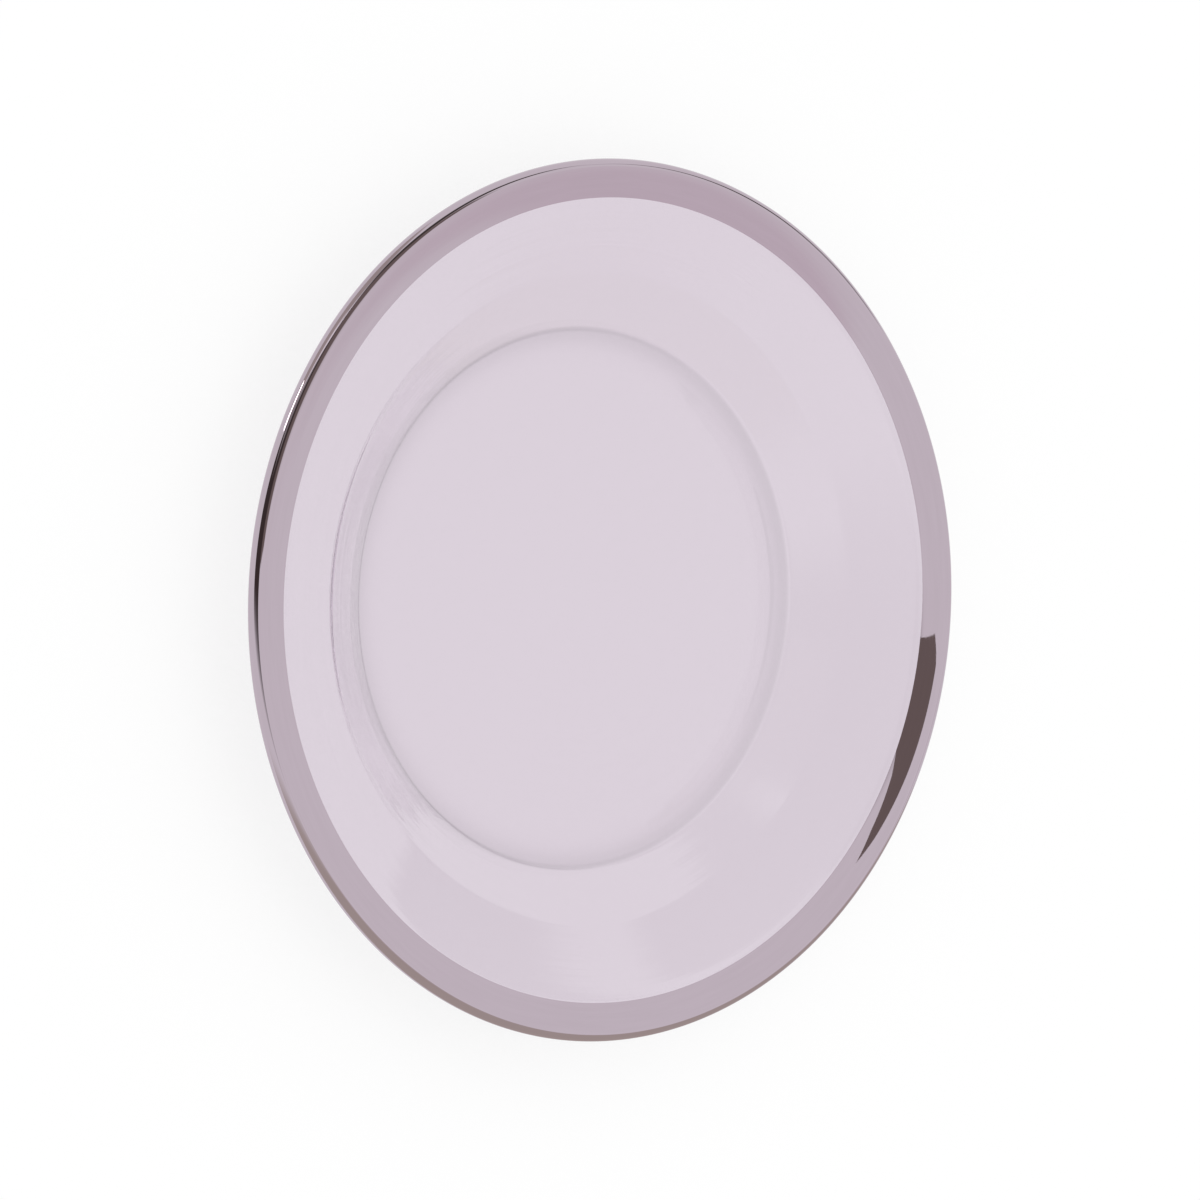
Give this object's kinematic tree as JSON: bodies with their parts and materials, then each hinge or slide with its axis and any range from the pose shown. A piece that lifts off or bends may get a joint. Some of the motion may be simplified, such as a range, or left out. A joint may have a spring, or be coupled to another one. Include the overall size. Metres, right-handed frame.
{
  "type": "side plate",
  "caption": "Round clear glass side plate: flat well, sloping flange and low foot ring in one pressed piece, with a mirror-bright platinum band fired over the rim's face and lip.",
  "frame": {"origin": "where the plate's axis meets the table, in the middle of the foot ring's flat", "axes": "+Z along the plate's axis, up out of the well; +X and +Y lie in the table and may be any two square directions, because the plate is round"},
  "size_m": [0.21, 0.21, 0.02],
  "materials": {
    "clear_glass": "polished",
    "platinum": "polished"
  },
  "bodies": {
    "root": {"glass_plate": "clear_glass", "platinum_band": "platinum"}
  },
  "joints": []
}
